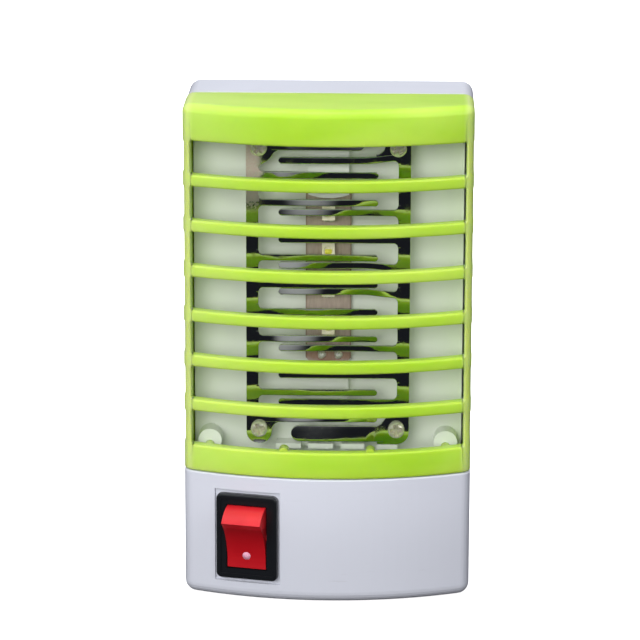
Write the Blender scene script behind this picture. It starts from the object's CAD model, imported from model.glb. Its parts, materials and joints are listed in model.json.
"""Plug-in insect zapper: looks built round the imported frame.

Metres, +X the user's right, -Y the front, +Z up; the wall socket's face is the plane Y = 0.
Shapes are worked out in millimetres and scaled by MM when they become a mesh.
"""

import json
import math

import bmesh
import bpy
import numpy as np
from mathutils import Matrix, Vector


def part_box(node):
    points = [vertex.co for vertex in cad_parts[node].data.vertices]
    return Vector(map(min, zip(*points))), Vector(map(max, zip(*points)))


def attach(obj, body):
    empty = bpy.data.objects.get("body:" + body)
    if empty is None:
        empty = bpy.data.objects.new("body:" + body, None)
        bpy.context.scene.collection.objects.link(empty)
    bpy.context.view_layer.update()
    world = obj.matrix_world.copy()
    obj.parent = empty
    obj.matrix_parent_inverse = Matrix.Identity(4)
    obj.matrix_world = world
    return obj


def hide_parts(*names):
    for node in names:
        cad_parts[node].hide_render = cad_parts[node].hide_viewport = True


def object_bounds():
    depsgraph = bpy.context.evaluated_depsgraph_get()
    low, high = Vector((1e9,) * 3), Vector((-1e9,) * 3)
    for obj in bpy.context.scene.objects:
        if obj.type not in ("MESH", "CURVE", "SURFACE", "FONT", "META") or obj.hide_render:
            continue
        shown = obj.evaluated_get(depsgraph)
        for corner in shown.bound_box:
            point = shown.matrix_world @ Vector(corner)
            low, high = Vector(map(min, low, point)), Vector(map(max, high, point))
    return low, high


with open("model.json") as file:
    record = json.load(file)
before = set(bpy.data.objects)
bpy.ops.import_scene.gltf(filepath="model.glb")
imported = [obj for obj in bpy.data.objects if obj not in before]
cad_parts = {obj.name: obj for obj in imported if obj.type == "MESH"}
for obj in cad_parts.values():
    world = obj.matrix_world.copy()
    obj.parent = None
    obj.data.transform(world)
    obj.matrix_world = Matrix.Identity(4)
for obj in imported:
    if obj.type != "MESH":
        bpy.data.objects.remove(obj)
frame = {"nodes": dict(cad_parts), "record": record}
size_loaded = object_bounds()
MM = 0.001
RNG = np.random.default_rng(7)


# ---- shader arithmetic ----

class Field:
    """A number that varies over a surface: a socket whose operators add Math nodes."""

    def __init__(self, finish, socket):
        self.finish, self.socket = finish, socket

    def _math(self, operation, *values):
        """A Math node fed with Fields or numbers."""
        return self.finish.field("ShaderNodeMath", {"operation": operation}, dict(enumerate(values)))

    def __add__(self, other):
        return self._math("ADD", self, other)

    def __sub__(self, other):
        return self._math("SUBTRACT", self, other)

    def __mul__(self, other):
        return self._math("MULTIPLY", self, other)

    def __abs__(self):
        return self._math("ABSOLUTE", self)

    def least(self, other):
        """The smaller of the two."""
        return self._math("MINIMUM", self, other)

    def ramp(self, low, high, start=0.0, end=1.0):
        """start below low, end above high, and a smooth step between."""
        return self.finish.field("ShaderNodeMapRange", {"interpolation_type": "SMOOTHSTEP"}, {
            "Value": self, "From Min": low, "From Max": high, "To Min": start, "To Max": end})


class Finish:
    """One material: a Principled shader and the nodes that feed it. The constants are sockets of the
    shader by name, with underscores for spaces."""

    made = {}

    def __init__(self, slot, **constants):
        self.material = bpy.data.materials.new(slot)
        self.material.use_nodes = True
        self.tree = self.material.node_tree
        self.shader = self.tree.nodes["Principled BSDF"]
        self.coords = self.node("ShaderNodeTexCoord", {}, {}).outputs["Object"]
        for name, value in constants.items():
            self.shader.inputs[name.replace("_", " ").title()].default_value = value
        Finish.made[slot] = self.material

    def node(self, kind, settings, inputs):
        """Adds a node; an input is a constant, a socket or a Field."""
        made = self.tree.nodes.new(kind)
        for name, value in settings.items():
            setattr(made, name, value)
        for key, value in inputs.items():
            if isinstance(value, Field):
                value = value.socket
            if isinstance(value, bpy.types.NodeSocket):
                self.tree.links.new(value, made.inputs[key])
            else:
                made.inputs[key].default_value = value
        return made

    def field(self, kind, settings, inputs):
        """The first output of a new node, as a Field."""
        return Field(self, self.node(kind, settings, inputs).outputs[0])

    def axis(self, name):
        """One coordinate of the surface point, in millimetres."""
        split = self.node("ShaderNodeSeparateXYZ", {}, {0: self.coords})
        return Field(self, split.outputs[name]) * 1000

    def noise(self, grain, detail, stretch=(1, 1, 1)):
        """Noise whose lumps are about grain millimetres across, drawn out along an axis by stretch."""
        shrunk = self.node("ShaderNodeMapping", {}, {
            "Vector": self.coords, "Scale": tuple(1000 / grain / s for s in stretch)}).outputs[0]
        return self.field("ShaderNodeTexNoise", {}, {"Vector": shrunk, "Scale": 1.0, "Detail": detail})

    def specks(self, spacing, size):
        """1 in small round spots about spacing millimetres apart, and 0 between them."""
        cells = self.node("ShaderNodeTexVoronoi", {}, {"Vector": self.coords, "Scale": 1000 / spacing})
        return Field(self, cells.outputs["Distance"]).ramp(size * 0.6, size, 1, 0)

    def mix(self, share, a, b):
        """Colour a where share is 0 and b where it is 1."""
        a, b = ((*colour, 1) if isinstance(colour, tuple) else colour for colour in (a, b))
        return self.node("ShaderNodeMix", {"data_type": "RGBA"}, {0: share, 6: a, 7: b}).outputs[2]

    def put(self, name, value):
        """Feeds a socket of the shader from a Field or a colour."""
        self.tree.links.new(value.socket if isinstance(value, Field) else value, self.shader.inputs[name])

    def bump(self, height, depth):
        """Relief of depth millimetres where height runs from 0 to 1."""
        self.put("Normal", self.node("ShaderNodeBump", {}, {
            "Strength": 1.0, "Distance": depth * MM, "Height": height}).outputs[0])


def rgb(red, green, blue):
    """Linear colour from the 0 to 255 values of a display, by the sRGB curve."""
    return tuple(c / 255 / 12.92 if c <= 10 else ((c / 255 + 0.055) / 1.055) ** 2.4
                 for c in (red, green, blue))


def scaled(colour, factor):
    """Lighter or darker colour, clipped at white."""
    return tuple(min(c * factor, 1.0) for c in colour)


# ---- finishes ----

def moulded(slot, colour, roughness):
    """Injection-moulded plastic: fine spark texture, faint flow clouds, a few dust specks."""
    f = Finish(slot)
    clouds = f.noise(22, 2)
    fine = f.noise(0.35, 3)
    dust = f.specks(9, 0.012)
    base = f.mix(clouds.ramp(0.35, 0.65), scaled(colour, 0.95), scaled(colour, 1.02))
    f.put("Base Color", f.mix(dust * 0.5, base, scaled(colour, 0.45)))
    f.put("Roughness", fine * 0.1 + clouds * 0.06 + (roughness - 0.08))
    f.bump(fine, 0.004)


def white_abs():
    """Satin white moulding, slightly blue, scuffed at its lower edge. Two casts in its colour stand in for
    soft light: greyer towards the foot, and faintly green on the tray behind the green cover."""
    f = Finish("white_abs", coat_weight=0.12, coat_roughness=0.25)
    colour = rgb(220, 222, 232)
    clouds = f.noise(26, 2)
    fine = f.noise(0.3, 3)
    streaks = f.noise(1.1, 4, (6, 6, 1))
    scuff = streaks.ramp(0.66, 0.74) * f.axis("Z").ramp(-60, -52, 0.25, 0.04)
    rub = f.specks(17, 0.02) * 0.3
    base = f.mix(clouds.ramp(0.35, 0.7), scaled(colour, 0.965), colour)
    base = f.mix(f.axis("Z").ramp(-55, -34, 0.85, 0), base, scaled(colour, 0.86))
    cover_foot = span("grille_cover")[0][2]
    depth_range = f.axis("Y").ramp(-36, -33) * f.axis("Y").ramp(-24, -22, 1, 0)
    tray = depth_range * f.axis("Z").ramp(cover_foot + 0.6, cover_foot + 2)
    base = f.mix(tray, base, rgb(222, 227, 216))
    f.put("Base Color", f.mix((scuff + rub).least(1.0), base, rgb(172, 170, 172)))
    f.put("Roughness", fine * 0.1 + clouds * 0.08 + 0.24)
    f.bump(fine * 0.7 + clouds * 0.3, 0.004)


def green_plastic():
    """Satin lime moulding: flow clouds running across it and a fine spark texture. It is paler on its left,
    in place of a broad sheen there, and along both posts, where the wall is thin."""
    f = Finish("green_plastic", coat_weight=0.15, coat_roughness=0.25, subsurface_weight=0.85,
               subsurface_radius=(1.0, 1.0, 0.35), subsurface_scale=0.0035)
    flow = f.noise(14, 3, (3.2, 1, 1))
    fine = f.noise(0.35, 3)
    dust = f.specks(7, 0.014)
    base = f.mix(flow.ramp(0.3, 0.7), rgb(180, 224, 56), rgb(200, 237, 90))
    base = f.mix(f.axis("X").ramp(-33, -6, 0.42, 0), base, rgb(218, 243, 142))
    base = f.mix(abs(f.axis("X")).ramp(28.9, 30.3) * 0.65, base, rgb(222, 246, 150))
    f.put("Base Color", f.mix(dust * 0.55, base, rgb(224, 236, 190)))
    f.put("Roughness", fine * 0.1 + flow * 0.1 + 0.28)
    f.bump(fine * 0.5 + flow * 0.5, 0.006)


def comb_steel():
    """Mirror-finished sheet: faint roller waves, hair scratches along the fingers, dull stains, and a
    rubbed pinkish patch at its upper left corner."""
    f = Finish("comb_steel", metallic=1.0)
    waves = f.noise(5, 2, (1, 1, 0.6))
    hairs = f.noise(0.12, 4, (30, 1, 1))
    stain = f.noise(3.2, 5).ramp(0.56, 0.7)
    upper_left = f.axis("X").ramp(-16, -13, 1, 0) * f.axis("Z").ramp(20, 32)
    dull = (stain * 0.25 + upper_left * f.noise(0.5, 4).ramp(0.3, 0.6, 0.6, 1.0)).least(1.0)
    f.put("Base Color", f.mix(dull, rgb(212, 214, 204), rgb(206, 186, 178)))
    f.put("Metallic", dull.ramp(0.3, 1.0, 1.0, 0.45))
    f.put("Roughness", dull * 0.5 + hairs * 0.05 + 0.035)
    f.bump(waves * 0.9 + hairs * 0.1, 0.02)


def plated(slot, colour, roughness, stain, relief=0.004, metallic=1.0):
    """Plated metal: cloudy tarnish of the colour stain and fine turning marks."""
    f = Finish(slot, metallic=metallic)
    clouds = f.noise(1.4, 4)
    fine = f.noise(0.15, 3)
    f.put("Base Color", f.mix(clouds.ramp(0.5, 0.75) * 0.6, colour, stain))
    f.put("Roughness", clouds * 0.2 + fine * 0.1 + (roughness - 0.12))
    f.bump(fine, relief)


def led_pcb():
    """Brown-grey phenolic board, pinker at its foot: fibre mottling, a brown scorch round the two joints,
    a dark sawn edge."""
    f = Finish("led_pcb")
    fibre = f.noise(0.5, 4, (1, 1, 5))
    cloud = f.noise(4, 3)
    foot, top = (corner[2] for corner in span("led_board"))
    side = abs(f.axis("X"))
    base = f.mix(f.axis("Z").ramp(foot, top - 14), rgb(184, 166, 158), rgb(174, 160, 144))
    base = f.mix(fibre.ramp(0.35, 0.65) * 0.5, base, rgb(152, 136, 122))
    joint_z = middle_of("led_solder")[2]
    away = abs(f.axis("Z") - joint_z) * 0.9 + side * 0.35
    scorch = (away + cloud * 1.6 - 2.2).ramp(0.2, 1.3, 1, 0)
    base = f.mix(scorch * 0.6, base, rgb(132, 86, 58))
    f.put("Base Color", f.mix(side.ramp(4.55, 4.8) * 0.55, base, rgb(112, 92, 76)))
    f.put("Roughness", cloud * 0.25 + 0.38)
    f.bump(fibre, 0.01)


def led_body():
    """Cream moulded package with faint warmer clouds."""
    f = Finish("led_body")
    fine = f.noise(0.25, 3)
    cloud = f.noise(1.5, 3)
    f.put("Base Color", f.mix(cloud.ramp(0.3, 0.7), rgb(238, 232, 196), rgb(248, 244, 218)))
    f.put("Roughness", fine * 0.2 + 0.35)
    f.bump(fine, 0.006)


def phosphor():
    """Yellow gel: grains of phosphor just under a clear wet-looking top."""
    f = Finish("led_gel", coat_weight=0.6, coat_roughness=0.08)
    grains = f.noise(0.12, 4)
    f.put("Base Color", f.mix(grains.ramp(0.35, 0.65), rgb(206, 204, 52), rgb(236, 232, 92)))
    f.put("Roughness", grains * 0.2 + 0.25)
    f.bump(grains, 0.01)


def solder():
    """Tin-lead joint: bright, frozen wrinkles, dull grey patches."""
    f = Finish("solder", metallic=0.5)
    wrinkle = f.noise(0.4, 4)
    f.put("Base Color", f.mix(wrinkle.ramp(0.45, 0.7), rgb(236, 236, 230), rgb(160, 154, 142)))
    f.put("Roughness", wrinkle.ramp(0.35, 0.7, 0.2, 0.5))
    f.bump(wrinkle, 0.06)


def driver_pcb():
    """Green solder mask with darker copper tracks showing through it and a faint weave."""
    f = Finish("driver_pcb", coat_weight=0.4, coat_roughness=0.2)
    tracks = f.node("ShaderNodeTexBrick", {"offset": 0.5}, {
        "Vector": f.coords, "Scale": 210.0, "Mortar Size": 0.06, "Mortar Smooth": 0.2,
        "Color1": (*rgb(46, 98, 46), 1), "Color2": (*rgb(40, 88, 42), 1),
        "Mortar": (*rgb(28, 66, 34), 1)}).outputs["Color"]
    weave = f.noise(0.6, 3)
    f.put("Base Color", f.mix(weave.ramp(0.3, 0.7) * 0.35, tracks, rgb(60, 116, 56)))
    f.put("Roughness", weave * 0.2 + 0.3)
    f.bump(weave, 0.01)


def lacquered(slot, colour, roughness=0.35):
    """Dipped or lacquered part: orange-peel skin and slight shade changes."""
    f = Finish(slot, coat_weight=0.35, coat_roughness=0.15)
    peel = f.noise(0.8, 2)
    cloud = f.noise(5, 3)
    f.put("Base Color", f.mix(cloud.ramp(0.3, 0.7), scaled(colour, 0.82), scaled(colour, 1.12)))
    f.put("Roughness", peel * 0.15 + (roughness - 0.06))
    f.bump(peel, 0.03)


def fuse_glass():
    """Hazy glass tube between two nickel caps."""
    f = Finish("fuse_glass", coat_weight=0.8, coat_roughness=0.05)
    low, high = span("fuse")
    half = (high[2] - low[2]) / 2
    caps = abs(f.axis("Z") - middle_of("fuse")[2]).ramp(half * 0.4, half * 0.44)
    haze = f.noise(1.2, 3)
    glass = f.mix(haze.ramp(0.3, 0.7), rgb(196, 208, 210), rgb(168, 182, 186))
    f.put("Base Color", f.mix(caps, glass, rgb(196, 194, 186)))
    f.put("Metallic", caps)
    f.put("Roughness", caps * 0.15 + haze * 0.1 + 0.08)
    f.bump(haze, 0.004)


def switch_black():
    """Black nylon: glossy with fine spark texture, pale dust caught in it."""
    f = Finish("switch_black", coat_weight=0.25, coat_roughness=0.2)
    fine = f.noise(0.3, 3)
    dust = f.specks(2.6, 0.03) * f.noise(4, 2).ramp(0.5, 0.7)
    f.put("Base Color", f.mix(dust * 0.5, rgb(22, 24, 27), rgb(150, 150, 150)))
    f.put("Roughness", fine * 0.14 + 0.26)
    f.bump(fine, 0.006)


def rocker_red():
    """Satin red nylon, deeper on the hollow face below its crest, a few dark grains on it."""
    f = Finish("rocker_red", coat_weight=0.1, coat_roughness=0.3)
    fine = f.noise(0.28, 3)
    cloud = f.noise(5, 2)
    grain = f.specks(5, 0.02)
    face = f.axis("Z").ramp(-44.4, -43.6, 1, 0)
    base = f.mix(cloud.ramp(0.3, 0.7), rgb(212, 28, 38), rgb(224, 36, 44))
    base = f.mix(face * 0.75, base, rgb(168, 10, 22))
    f.put("Base Color", f.mix(grain * 0.6, base, rgb(70, 10, 16)))
    f.put("Roughness", fine * 0.14 + 0.34)
    f.bump(fine, 0.007)


def dot_pink():
    """Pad-printed pale mark: thin ink with uneven cover."""
    f = Finish("dot_pink")
    cover = f.noise(0.25, 4)
    f.put("Base Color", f.mix(cover.ramp(0.3, 0.62), rgb(240, 160, 192), rgb(250, 190, 212)))
    f.put("Roughness", cover * 0.2 + 0.42)
    f.bump(cover, 0.004)


def pvc(slot, colour):
    """Extruded wire covering: soft sheen, slight drag marks, dusty patches."""
    f = Finish(slot, coat_weight=0.1, coat_roughness=0.4)
    drag = f.noise(0.5, 3)
    dusty = f.noise(6, 3).ramp(0.5, 0.75)
    f.put("Base Color", f.mix(dusty * 0.2, colour, rgb(150, 148, 144)))
    f.put("Roughness", drag * 0.2 + dusty * 0.1 + 0.35)
    f.bump(drag, 0.008)


def make_finishes():
    """Every material, by the slot names of the record, with led_gel and floor_paint added."""
    white_abs()
    green_plastic()
    comb_steel()
    plated("screw_steel", rgb(236, 232, 214), 0.19, rgb(206, 198, 160), relief=0.0012, metallic=0.62)
    led_pcb()
    led_body()
    phosphor()
    solder()
    driver_pcb()
    lacquered("film_yellow", rgb(206, 160, 50))
    lacquered("film_blue", rgb(52, 96, 172))
    moulded("diode_black", rgb(36, 36, 38), 0.45)
    lacquered("resistor_tan", rgb(202, 180, 138))
    fuse_glass()
    plated("pin_brass", rgb(222, 220, 212), 0.2, rgb(160, 150, 130))
    plated("lug_brass", rgb(216, 184, 110), 0.26, rgb(140, 100, 50))
    moulded("sleeve_black", rgb(34, 34, 36), 0.4)
    plated("housing_screw", rgb(196, 196, 190), 0.3, rgb(120, 116, 108))
    switch_black()
    rocker_red()
    dot_pink()
    moulded("plunger_nylon", rgb(238, 234, 222), 0.4)
    plated("contact_copper", rgb(214, 150, 104), 0.25, rgb(120, 70, 40))
    pvc("wire_brown", rgb(128, 72, 40))
    pvc("wire_blue", rgb(48, 96, 176))
    pvc("wire_red", rgb(184, 36, 36))
    pvc("wire_black", rgb(34, 34, 36))
    pvc("wire_white", rgb(226, 226, 226))


# ---- meshes ----

SHARP = math.radians(40)


def stack(rings):
    """Faces over an (n, m) grid of points whose rows are closed loops, with a face on each end row."""
    n, m = rings.shape[:2]
    i, k = np.meshgrid(np.arange(n - 1), np.arange(m), indexing="ij")
    a, b = i * m + k, i * m + (k + 1) % m
    sides = np.stack([a, b, b + m, a + m], -1).reshape(-1, 4).tolist()
    return sides + [list(range(m - 1, -1, -1)), list(range((n - 1) * m, n * m))]


def piece(name, parts, body, slot, replaces=()):
    """One object from closed parts, each a grid of rings in millimetres."""
    points, faces, start = [], [], 0
    for rings in parts:
        flat = rings.reshape(-1, 3)
        faces += [[start + v for v in face] for face in stack(rings)]
        points.append(flat)
        start += len(flat)
    return solid(name, np.concatenate(points), faces, body, slot, replaces)


def solid(name, points, faces, body, slot, replaces=()):
    """One object from points in millimetres and faces; doubles merged, faces outward, sharp edges kept."""
    mesh = bpy.data.meshes.new(name)
    mesh.from_pydata(points * MM, [], faces)
    work = bmesh.new()
    work.from_mesh(mesh)
    bmesh.ops.remove_doubles(work, verts=work.verts, dist=1e-7)
    bmesh.ops.recalc_face_normals(work, faces=work.faces)
    work.to_mesh(mesh)
    work.free()
    mesh.shade_smooth()
    mesh.set_sharp_from_angle(angle=SHARP)
    made = bpy.data.objects.new(name, mesh)
    bpy.context.scene.collection.objects.link(made)
    mesh.materials.append(Finish.made[slot])
    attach(made, body)
    if replaces:
        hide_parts(*replaces)
    return made


def span(node):
    """A CAD node's box in millimetres, as two arrays."""
    low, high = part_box(node)
    return np.array(low) / MM, np.array(high) / MM


def middle_of(node):
    """The middle of a CAD node's box in millimetres."""
    low, high = span(node)
    return (low + high) / 2


# ---- combs ----

COMB_T = 0.5
FINGERS = 10
FINGER_H = 1.45
FINGER_PITCH = 6.1
FIRST_FINGER = 25.46
STRIP_W = 2.7
ROOT_R = 1.0
END_BAR_H = 3.5
END_BAR_IN = 0.5
END_BAR_TIP = 8.1
TAB_FILLET = 2.0
EDGE_ROLL = 0.07
EDGE_STEPS = (0, 0.04, 0.1, 0.18)
RIGHT_SAG = {4: -0.6, 5: -0.4, 9: 0.7}


def sheet_strip(left, right, face_y):
    """Sheet strip between two edge lines given as (n, 2) points in X and Z, with its front at face_y (n, 2)
    on the two edges. Each ring runs over the front from edge to edge, falls away by a quarter ellipse of
    depth EDGE_ROLL at both edges as punched metal does, and returns along the flat back."""
    width = np.linalg.norm(right - left, axis=1)[:, None]
    edge = np.minimum(EDGE_STEPS / width, (0, 0.1, 0.2, 0.3))
    half = np.concatenate([edge, (edge[:, -1:] + 0.5) / 2], 1)
    u = np.concatenate([half, np.full((len(width), 1), 0.5), 1 - half[:, ::-1]], 1)
    near = np.clip(np.minimum(u, 1 - u) * width / (2 * EDGE_ROLL), 0, 1)
    fall = EDGE_ROLL * (1 - np.sqrt(np.clip(1 - (1 - near) ** 2, 0, 1)))
    front = np.empty((*u.shape, 3))
    front[..., 0] = left[:, :1] + (right - left)[:, :1] * u
    front[..., 2] = left[:, 1:] + (right - left)[:, 1:] * u
    flat_y = face_y[:, :1] + (face_y[:, 1:] - face_y[:, :1]) * u
    front[..., 1] = flat_y + fall
    back = front[:, ::-1].copy()
    back[..., 1] = flat_y[:, ::-1] + COMB_T
    return np.concatenate([front, back], 1)


def finger(root_x, tip_x, mid_z, half, front_y, bend, twist, phase, lean=0.0, sag=0.0, root_r=ROOT_R):
    """Finger from root_x to tip_x. Its half width is half, plus a quarter-round fillet at the root and
    less a round tip. It bows forward by bend times a sine, turns about its own line by lean and a slow
    wave, and past its root it stands off by sag in its own plane."""
    a = np.linspace(0, np.pi / 2, 10)
    root = root_r * np.sin(a)
    middle = np.linspace(root_r, tip_x - root_x - half, 46)[1:-1]
    tip = tip_x - root_x - half + half * np.sin(a)
    x = np.concatenate([[-0.5], root, middle, tip])
    h = np.concatenate([[half + root_r], half + root_r - np.sqrt(root_r ** 2 - (root_r - root) ** 2),
                        np.full(len(middle), half), np.maximum(half * np.cos(a), 0.01)])
    along = np.clip(x / (tip_x - root_x), 0, 1)
    bow = -bend * np.sin(along * np.pi * 0.5 + phase * 0.4) * along
    turn = (lean + twist * np.sin(along * 5.2 + phase)) * np.minimum(along * 6, 1)
    y = front_y - 0.02 + bow
    part = np.clip(along / 0.3, 0, 1)
    middle_z = mid_z + sag * part ** 2 * (3 - 2 * part)
    left = np.stack([root_x + x, middle_z - h], 1)
    right = np.stack([root_x + x, middle_z + h], 1)
    return sheet_strip(left, right, np.stack([y - h * turn, y + h * turn], 1))


def spine(outer, inner, half_h, front_y):
    """Upright strip of a comb, bottom to top. Its inner edge steps out for the lower screw tab, whose foot
    is dished forward by a parabola and whose shoulder is a concave quarter round, and sweeps out at the
    top to carry the end bar; corners are round."""
    tab, corner = 5.6, 2.6  # width of the tab, radius of the corners
    bar_low = half_h - END_BAR_IN - END_BAR_H
    last_low = FIRST_FINGER - (FINGERS - 1) * FINGER_PITCH - FINGER_H / 2
    # inward step of the inner edge, and its height above the first finger
    sweep = np.array([[0, 1.74], [0.6, 2.24], [1.2, 2.68], [1.9, 3.1], [2.6, 3.8], [3.4, 5.0]])
    ease = 1 - np.cos(np.linspace(0, np.pi / 2, 10))
    z = np.unique(np.concatenate([
        -half_h + corner * ease, half_h - corner * ease, last_low - TAB_FILLET * ease,
        np.linspace(-half_h + corner, half_h - corner, 60),
        [last_low + 0.6, last_low + 0.7, bar_low], FIRST_FINGER + sweep[:, 1]]))
    to_end = np.minimum(z + half_h, half_h - z)
    cut = corner - np.sqrt(np.maximum(corner ** 2 - np.clip(corner - to_end, 0, None) ** 2, 0))
    rise = np.clip(z - last_low + TAB_FILLET, 0, TAB_FILLET)
    shoulder = tab + TAB_FILLET - np.sqrt(TAB_FILLET ** 2 - rise ** 2)
    swept = np.interp(z, np.append(FIRST_FINGER + sweep[:, 1], bar_low), np.append(sweep[:, 0], 4.3))
    inner_edge = np.where(z < last_low + 0.65, outer + shoulder, inner + swept)
    left = np.stack([outer + cut, z], 1)
    right = np.stack([inner_edge - np.where(z < 0, cut, 0), z], 1)
    dish = 0.22 * np.clip(1 - (z + half_h) / 1.5, 0, 1) ** 2
    return sheet_strip(left, right, front_y - np.stack([dish, dish], 1))


def comb(node, side, bends):
    """One comb: spine, end bar and ten fingers, each bent its own way. side is -1 for the left comb; the
    right one is the same turned half round, which flips both X and Z, and three of its fingers sag."""
    low, high = span(node)
    centre_z = (low[2] + high[2]) / 2
    half_h = (high[2] - low[2]) / 2
    front_y = low[1]
    edge = low[0] if side < 0 else high[0]
    tip = high[0] if side < 0 else low[0]
    outer, tip_x = -abs(edge), abs(tip)
    inner = outer + STRIP_W
    bar_z = half_h - END_BAR_IN - END_BAR_H / 2
    parts = [spine(outer, inner, half_h, front_y),
             finger(inner + 3.4, END_BAR_TIP, bar_z, END_BAR_H / 2, front_y, 0.0, 0.02, bends[-1],
                    -side * 0.12, 0.0, 0.02)]
    for k in range(FINGERS):
        sag = RIGHT_SAG.get(k, 0.0) if side > 0 else 0.0
        parts.append(finger(inner, tip_x, FIRST_FINGER - k * FINGER_PITCH, FINGER_H / 2, front_y,
                            0.25 * math.sin(bends[k] * 1.7), 0.22 * math.cos(bends[k]), bends[k],
                            -side * 0.03, sag))
    for rings in parts:
        rings[..., 0] *= -side
        rings[..., 2] = centre_z + rings[..., 2] * -side
    return piece("polished_" + node, parts, "housing", "comb_steel", [node])


# ---- green cover ----

BAR_COUNT, BAR_H, SLOT_H, BAR_D = 6, 2.6, 7.45, 2.8
BOW_DROP, CORNER_R, TOP_R, POST_W = 7.0, 3.0, 2.0, 1.6
LOW_BAND = 5.9
LOW_EXTRA = 0.3
POST_STEP, POST_STEP_BACK = 0.3, 7.3
COVER_EDGE_R = 0.45
PEG_R, PEG_X = 0.95, 26


def bow(x, radius, centre_y):
    """Y of the forward arc of a circle."""
    return centre_y - np.sqrt(radius ** 2 - x ** 2)


def cover_outline(half, front, back, shrink, inner):
    """Half of the cover's outline from the middle of the bow to the rear edge, as (n, 2) points: an arc,
    the round corner tangent to it, and the straight side. The inner one is the hollow behind it, point
    for point: a concentric arc at the same x, then a flat wall."""
    radius = (half ** 2 + BOW_DROP ** 2) / (2 * BOW_DROP)
    middle = front + radius
    r = max(CORNER_R - shrink, 0.3)
    cx = half - shrink - r
    cy = middle - math.sqrt((radius - shrink - r) ** 2 - cx ** 2)
    turn = math.asin(cx / (radius - shrink - r))
    t = turn * np.append(np.arange(0.5, 20), 20) / 20
    arc = np.stack([(radius - shrink) * np.sin(t), middle - (radius - shrink) * np.cos(t)], 1)
    wall = half - POST_W
    t = np.concatenate([[math.asin((wall - half + CORNER_R) / CORNER_R)], np.radians([44, 56, 68, 80, 90])])
    corner = np.stack([cx + r * np.sin(t), cy - r * np.cos(t)], 1)
    side = np.stack([np.full(4, half - shrink), np.linspace(cy, back, 5)[1:]], 1)
    if not inner:
        return np.concatenate([arc, corner, side])
    x = np.append(arc[:, 0], wall)
    front_part = np.stack([x, bow(x, radius - BAR_D, middle)], 1)
    rest = len(corner) + len(side) - 1
    y = np.linspace(front_part[-1, 1], back, rest + 1)[1:]
    return np.concatenate([front_part, np.stack([np.full(rest, wall), y], 1)])


def whole(half_path):
    """Both sides of a half outline, left rear to right rear."""
    return np.concatenate([half_path[::-1] * (-1, 1), half_path])


def cover_slots(low_z):
    """Lower and upper edge of each slot, bottom to top; the lowest one starts at the low band's top."""
    edges = []
    for i in range(BAR_COUNT + 1):
        start = low_z + LOW_BAND + LOW_EXTRA + i * (SLOT_H + BAR_H)
        edges.append((start - (LOW_EXTRA if i == 0 else 0.0), start + SLOT_H))
    return edges


def cover_skins(low, high, slots):
    """Rows of points from left rear to right rear: the outer skin up the levels, the rounding of the roof,
    then the inner skin up the same levels. The posts step in beside each slot. Returns the rows, the
    levels, the number of outer rows, and the first and last station of the bars."""
    half, front, back = high[0], low[1], high[1]
    step_h = 0.7
    levels = {low[2], high[2] - TOP_R}
    for a, b in slots:
        levels.update((a, a + step_h, b - step_h, b))
    levels = sorted(levels)
    outline, hollow = (whole(cover_outline(half, front, back, 0.0, inner)) for inner in (False, True))
    stepped = outline.copy()
    beside = outline[:, 1] < back - POST_STEP_BACK
    stepped[beside, 0] = np.clip(stepped[beside, 0], POST_STEP - half, half - POST_STEP)
    rows = []
    for z in levels:
        narrow = any(a + step_h / 2 < z < b - step_h / 2 for a, b in slots)
        rows.append(at_height(stepped if narrow else outline, z))
    for a in np.radians([15, 30, 45, 60, 75, 90]):
        ring = whole(cover_outline(half, front, back, TOP_R * (1 - math.cos(a)), False))
        rows.append(at_height(ring, high[2] - TOP_R * (1 - math.sin(a))))
    outer_rows = len(rows)
    rows += [at_height(hollow, z) for z in levels]
    on_bow = (np.abs(hollow[:, 0]) < half - POST_W + 1e-6) \
        & (hollow[:, 1] < hollow[:, 1].min() + BOW_DROP + 0.1)
    first, last = (int(k) for k in np.flatnonzero(on_bow)[[0, -1]])
    return np.stack(rows), levels, outer_rows, first, last


def at_height(outline, z):
    """An outline of X and Y as points at one height."""
    return np.column_stack([outline, np.full(len(outline), z)])


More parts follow.
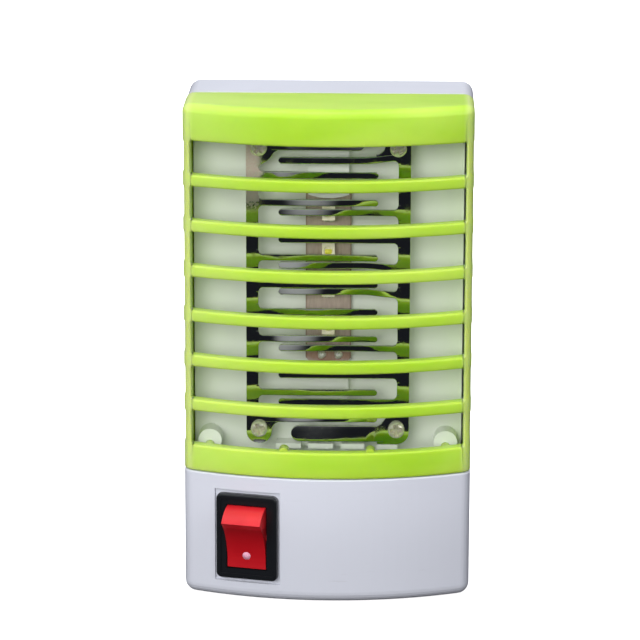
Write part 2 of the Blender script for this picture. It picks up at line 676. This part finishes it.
def green_cover():
    """The cover as an outer and an inner skin, the slots left out of both and rimmed, with a rim along the
    foot and up both rear edges and a flat roof on top. A bevel rounds every edge of the bars."""
    low, high = span("grille_cover")
    slots = cover_slots(low[2])
    grid, levels, rows, first_k, last_k = cover_skins(low, high, slots)
    n, last = grid.shape[1], len(levels) - 1

    def outer(row, k):
        return row * n + k

    def inner(row, k):
        return (rows + row) * n + k

    def is_open(row, k):
        centre = (levels[row] + levels[row + 1]) / 2 if row < last else high[2]
        return first_k <= k < last_k and any(a < centre < b for a, b in slots)

    faces = []
    for row in range(rows - 1):
        for k in range(n - 1):
            if not is_open(row, k):
                faces.append([outer(row, k), outer(row, k + 1), outer(row + 1, k + 1), outer(row + 1, k)])
                if row < last:
                    faces.append([inner(row, k), inner(row + 1, k),
                                  inner(row + 1, k + 1), inner(row, k + 1)])
    # rims lying flat: the foot, and below and above each slot
    for k in range(n - 1):
        for row in range(last):
            if row == 0 or is_open(row - 1, k) != is_open(row, k):
                faces.append([outer(row, k), outer(row, k + 1), inner(row, k + 1), inner(row, k)])
    # upright rims: the ends of each slot, and the two rear edges
    for row in range(last):
        for k in (0, first_k, last_k, n - 1):
            if k in (0, n - 1) or is_open(row, first_k):
                faces.append([outer(row, k), outer(row + 1, k), inner(row + 1, k), inner(row, k)])
    # roof: its outside, its underside, and its rear edge
    for k in range(n // 2 - 1):
        for side, row in ((outer, rows - 1), (inner, last)):
            faces.append([side(row, k), side(row, k + 1), side(row, n - 2 - k), side(row, n - 1 - k)])
    for k in (0, n - 1):
        faces.append([inner(last, k)] + [outer(row, k) for row in range(last, rows)])
    faces.append([inner(last, 0), inner(last, n - 1), outer(rows - 1, n - 1), outer(rows - 1, 0)])
    made = solid("green_cover", grid.reshape(-1, 3), faces, "cover", "green_plastic", ["grille_cover"])
    bevel = made.modifiers.new("edges", "BEVEL")
    bevel.width, bevel.segments = COVER_EDGE_R * MM, 4
    bevel.limit_method, bevel.angle_limit = "ANGLE", SHARP
    bevel.use_clamp_overlap = False
    bevel.miter_outer = "MITER_ARC"
    even = made.modifiers.new("even", "WEIGHTED_NORMAL")
    even.keep_sharp = True
    made.data.polygons.foreach_set("use_smooth", [True] * len(made.data.polygons))


def cover_pegs():
    """Four pegs with a chamfered end, and the two round-topped tabs behind the low band. Both are extruded
    backwards, through pairs of a depth behind the cover's front and a share of the full width."""
    low = span("grille_cover")[0]
    window, front, parts = low[2] + LOW_BAND + LOW_EXTRA, low[1], []
    angle = np.linspace(0, 2 * np.pi, 28, endpoint=False)
    for x in (-PEG_X, PEG_X):
        for z in (window - 1.5, window + 69.1):
            parts.append(np.stack([
                np.column_stack([x + PEG_R * share * np.cos(angle), np.full(28, front + depth),
                                 z + PEG_R * share * np.sin(angle)])
                for depth, share in ((6.5, 1.0), (13.5, 1.0), (13.8, 0.72))]))
    a = np.linspace(0, np.pi, 13)
    outline = np.concatenate([[[1.1, -3.0]], np.stack([1.1 * np.cos(a), 1.1 * np.sin(a) - 0.75], 1),
                              [[-1.1, -3.0]]])
    for x in (-9.4, 9.5):
        parts.append(np.stack([
            np.column_stack([x + outline[:, 0] * share, np.full(15, front + depth),
                             window + outline[:, 1] - (1 - share) * 0.8])
            for depth, share in ((1.5, 1.0), (4.7, 1.0), (4.95, 0.9), (5.0, 0.75))]))
    piece("cover_pegs", parts, "cover", "green_plastic", ["grille_cover"])


# ---- small parts ----

def turned(radius, height, centre, outline, around=40, wobble=0.0):
    """Solid of revolution about -Y: outline is (m, 2) of radius and height shares from rim to pole. The
    radius swings by wobble three times round."""
    angle = np.linspace(0, 2 * np.pi, around, endpoint=False)
    r = outline[:, :1] * radius * (1 + wobble * np.sin(3 * angle + 1.3))[None, :]
    rings = np.empty((len(outline), around, 3))
    rings[..., 0] = centre[0] + r * np.cos(angle)
    rings[..., 1] = centre[1] - outline[:, 1:] * height
    rings[..., 2] = centre[2] + r * np.sin(angle)
    return rings


def pan_head(x, front, z, radius, height, turn):
    """Pan head seen from its front: a domed disc whose height falls off with the fourth power of the
    radius, less a tapered cross recess worked out from the distance to the two arms."""
    rim = np.array([[0.96, 0.0], [1.0, 0.04], [1.0, 0.45], [0.985, 0.55]])
    shares = np.linspace(0.96, 0.02, 26)
    dome = np.stack([shares, 1 - 0.38 * shares ** 4], 1)
    rings = turned(radius, height, (x, front + height, z), np.concatenate([rim, dome]), 72)
    on_dome = rings[len(rim):]
    across, up = on_dome[..., 0] - x, on_dome[..., 2] - z
    c, s = math.cos(turn), math.sin(turn)
    p, q = np.abs(across * c + up * s), np.abs(up * c - across * s)
    arm, reach = 0.19 * radius, 0.66 * radius
    inside = np.minimum(np.maximum(p - arm, q - reach), np.maximum(q - arm, p - reach))
    on_dome[..., 1] += 0.75 * height * np.clip(-inside / (0.16 * radius) + 0.5, 0, 1)
    return rings


def comb_screw_heads():
    """Four cross-recess pan heads, turned each its own way, with their shanks kept below."""
    low, high = span("comb_screws")
    radius, head = 1.85, 1.4
    shank_r, shank, overlap = 0.96, 8.0, 0.1
    turns = iter((0.35, 0.9, 0.1, 0.62))
    parts = []
    for x in (low[0] + radius, high[0] - radius):
        for z in (low[2] + radius, high[2] - radius):
            parts.append(pan_head(x, low[1], z, radius, head, next(turns)))
            end = (x, low[1] + head + shank - overlap, z)
            parts.append(turned(shank_r, shank, end, np.array([[1.0, 0.0], [1.0, 1.0]]), 24))
    piece("screw_heads", parts, "housing", "screw_steel", ["comb_screws"])


LED_COUNT, LED_H = 4, 3.5


def led_heights():
    """Z of the middle of each LED package, bottom to top."""
    low, high = span("leds")
    return np.linspace(low[2] + LED_H / 2, high[2] - LED_H / 2, LED_COUNT)


def pillow(x, z, half_width, half_height, steps):
    """Part with a squared circle for its outline, cos and sin of an angle to the power 0.35. Each step is
    a Y and the share of the outline's size that is left there."""
    angle = np.linspace(0, 2 * np.pi, 32, endpoint=False)
    c, s = np.cos(angle), np.sin(angle)
    across, up = (np.sign(v) * np.abs(v) ** 0.35 for v in (c, s))
    return np.stack([np.column_stack([x + across * half_width * share, np.full(32, y),
                                      z + up * half_height * share]) for y, share in steps])


def led_gels():
    """Domed bar of yellow gel low in each LED's well, shrinking along a quarter wave."""
    front, x = span("leds")[0][1], middle_of("leds")[0]
    steps = [(front + 0.5 - 0.4 * math.sin(a), math.cos(a)) for a in np.linspace(0, 1.5, 7)]
    parts = [pillow(x, z - 0.25, 0.8, 0.62, steps) for z in led_heights()]
    made = piece("led_gels", parts, "housing", "led_gel")


def led_feet():
    """Tinned feet above and below each LED package."""
    board, x = span("leds")[1][1], middle_of("leds")[0]
    steps = ((board, 1.0), (board - 0.12, 0.97), (board - 0.2, 0.7))
    parts = [pillow(x, z + end, 1.15, 0.42, steps) for z in led_heights() for end in (-1.95, 1.95)]
    piece("led_feet", parts, "housing", "solder")


def solder_joints():
    """Two frozen drops on the board: a concave skirt rising to a blunt tip, slightly out of round."""
    low, high = span("led_solder")
    radius, height = 0.95, high[1] - low[1]
    share = np.linspace(0, 1, 12)
    outline = np.stack([1.0 - 0.5 * share ** 1.2 - 0.42 * share ** 6, share], 1)
    parts = [turned(radius, height, (x, high[1], (low[2] + high[2]) / 2), outline, 28, 0.09)
             for x in (low[0] + radius, high[0] - radius)]
    piece("solder_joints", parts, "housing", "solder", ["led_solder"])


# ---- the frame's own nodes ----

def finish_nodes():
    """Gives every shown CAD node its slot's finish."""
    slots = {s["node"]: s["material_slot"] for s in frame["record"]["subparts"]}
    for name, made in frame["nodes"].items():
        made.data.materials.clear()
        made.data.materials.append(Finish.made[slots[name]])


SOFT_EDGES = {
    "rear_shell": 0.35, "switch_body": 0.15, "switch_rocker": 0.25, "rocker_dot": 0, "led_board": 0.1,
    "leds": 0.12, "plug_pin_left": 0.3, "plug_pin_right": 0.3, "pin_sleeves": 0.1, "housing_screws": 0.15,
    "main_board": 0.1, "dropper_capacitor": 0.8, "hv_capacitors": 0.8, "switch_terminals": 0.1}


def soften(name, edge):
    """Merges a CAD node's triangles, rounds its sharp edges by edge millimetres and evens its shading."""
    made = frame["nodes"][name]
    weld = made.modifiers.new("weld", "WELD")
    weld.merge_threshold = 1e-6
    flat = made.modifiers.new("flat", "DECIMATE")
    flat.decimate_type = "DISSOLVE"
    flat.angle_limit = math.radians(0.6)
    if edge:
        bevel = made.modifiers.new("edge", "BEVEL")
        bevel.width, bevel.segments = edge * MM, 3
        bevel.limit_method, bevel.angle_limit = "ANGLE", math.radians(32)
    for polygon in made.data.polygons:
        polygon.use_smooth = True
    even = made.modifiers.new("even", "WEIGHTED_NORMAL")
    even.keep_sharp = True
    even.weight = 80


# ---- stage ----

def set_stage():
    """Pale floor under the object, one square wide enough to fill every view. It glows so that it looks
    evenly white, and neither lights the object nor shows in its mirrors."""
    reach, z = 8.0, size_loaded[0].z - 0.0002
    mesh = bpy.data.meshes.new("floor")
    mesh.from_pydata([(x * reach, y * reach, z) for x, y in ((-1, -1), (1, -1), (1, 1), (-1, 1))], [],
                     [[0, 1, 2, 3]])
    floor = bpy.data.objects.new("floor", mesh)
    bpy.context.scene.collection.objects.link(floor)
    f = Finish("floor_paint", emission_color=(1, 1, 1, 1), emission_strength=0.85)
    f.shader.inputs["Specular IOR Level"].default_value = 0.0
    cloud = f.noise(400, 3)
    f.put("Base Color", f.mix(cloud.ramp(0.3, 0.7), rgb(250, 250, 250), rgb(253, 253, 253)))
    f.put("Roughness", cloud * 0.1 + 0.8)
    mesh.materials.append(f.material)
    floor.visible_glossy = floor.visible_diffuse = False


def softbox(name, at, target, size, power, mirrored=True):
    """Rectangular area light that faces target; mirrored says whether reflections show it."""
    light = bpy.data.lights.new(name, "AREA")
    light.shape = "RECTANGLE"
    light.size, light.size_y = size
    light.energy = power
    made = bpy.data.objects.new(name, light)
    made.location = at
    made.visible_glossy = mirrored
    made.rotation_mode = "QUATERNION"
    made.rotation_quaternion = (Vector(target) - Vector(at)).to_track_quat("-Z", "Y")
    bpy.context.scene.collection.objects.link(made)


def set_lights():
    """A soft key from the upper left, a large box in front, a weak fill from the right, a strip overhead
    and a box behind, in a room that is bright above the horizon and dark below it. The key, front and
    back boxes stay out of the reflections, so that the combs mirror the dark lower room and the cover."""
    middle = (0, -0.03, 0)
    softbox("key", (-0.7, -1.1, 0.75), middle, (1.1, 1.0), 8.0, False)
    softbox("front", (-0.4, -1.5, 0.42), middle, (1.0, 0.9), 13.0, False)
    softbox("fill", (0.8, -1.0, 0.5), middle, (0.8, 0.8), 2.5)
    softbox("top", (0.0, -0.2, 0.9), middle, (0.7, 0.45), 2.2)
    softbox("back", (0.35, 1.2, 0.7), (0, 0, 0), (1.0, 0.9), 9.0, False)
    world = bpy.data.worlds.new("room")
    bpy.context.scene.world = world
    world.use_nodes = True
    nodes, links = world.node_tree.nodes, world.node_tree.links
    coords = nodes.new("ShaderNodeTexCoord")
    split = nodes.new("ShaderNodeSeparateXYZ")
    height = nodes.new("ShaderNodeMapRange")
    height.interpolation_type = "SMOOTHSTEP"
    height.inputs["From Min"].default_value = -0.06
    height.inputs["From Max"].default_value = 0.3
    mix = nodes.new("ShaderNodeMix")
    mix.data_type = "RGBA"
    mix.inputs[6].default_value = (0.012, 0.013, 0.018, 1)
    mix.inputs[7].default_value = (0.45, 0.465, 0.5, 1)
    links.new(coords.outputs["Generated"], split.inputs[0])
    links.new(split.outputs["Z"], height.inputs["Value"])
    links.new(height.outputs[0], mix.inputs[0])
    links.new(mix.outputs[2], nodes["Background"].inputs["Color"])
    nodes["Background"].inputs["Strength"].default_value = 1.0
    bpy.context.scene.view_settings.view_transform = "Standard"


def set_camera():
    """Camera a little to the right of the object's middle and above it, looking down at the grille. turn
    and fall are the angles of its line of sight, roll turns the picture."""
    turn, fall, roll = (math.radians(a) for a in (1.5, 14.6, 0.16))
    distance = 0.75
    target = Vector((-1.48, -42.0, 3.07)) * MM
    back = Vector((math.sin(turn) * math.cos(fall), -math.cos(turn) * math.cos(fall), math.sin(fall)))
    right = Vector((math.cos(turn), math.sin(turn), 0))
    up = back.cross(right)
    data = bpy.data.cameras.new("camera")
    data.sensor_width = 36
    data.lens = 195.5
    data.clip_start, data.clip_end = 0.01, 50
    camera = bpy.data.objects.new("camera", data)
    side = right * math.cos(roll) + up * math.sin(roll)
    top = up * math.cos(roll) - right * math.sin(roll)
    place = Matrix((side, top, back)).transposed().to_4x4()
    place.translation = target + back * distance
    camera.matrix_world = place
    bpy.context.scene.collection.objects.link(camera)
    bpy.context.scene.camera = camera


# ---- put together ----

make_finishes()
finish_nodes()
for node, edge in SOFT_EDGES.items():
    soften(node, edge)
green_cover()
cover_pegs()
comb("comb_left", -1, RNG.uniform(0, 6.2, FINGERS + 1))
comb("comb_right", 1, RNG.uniform(0, 6.2, FINGERS + 1))
comb_screw_heads()
led_gels()
led_feet()
solder_joints()
set_stage()
set_lights()
set_camera()
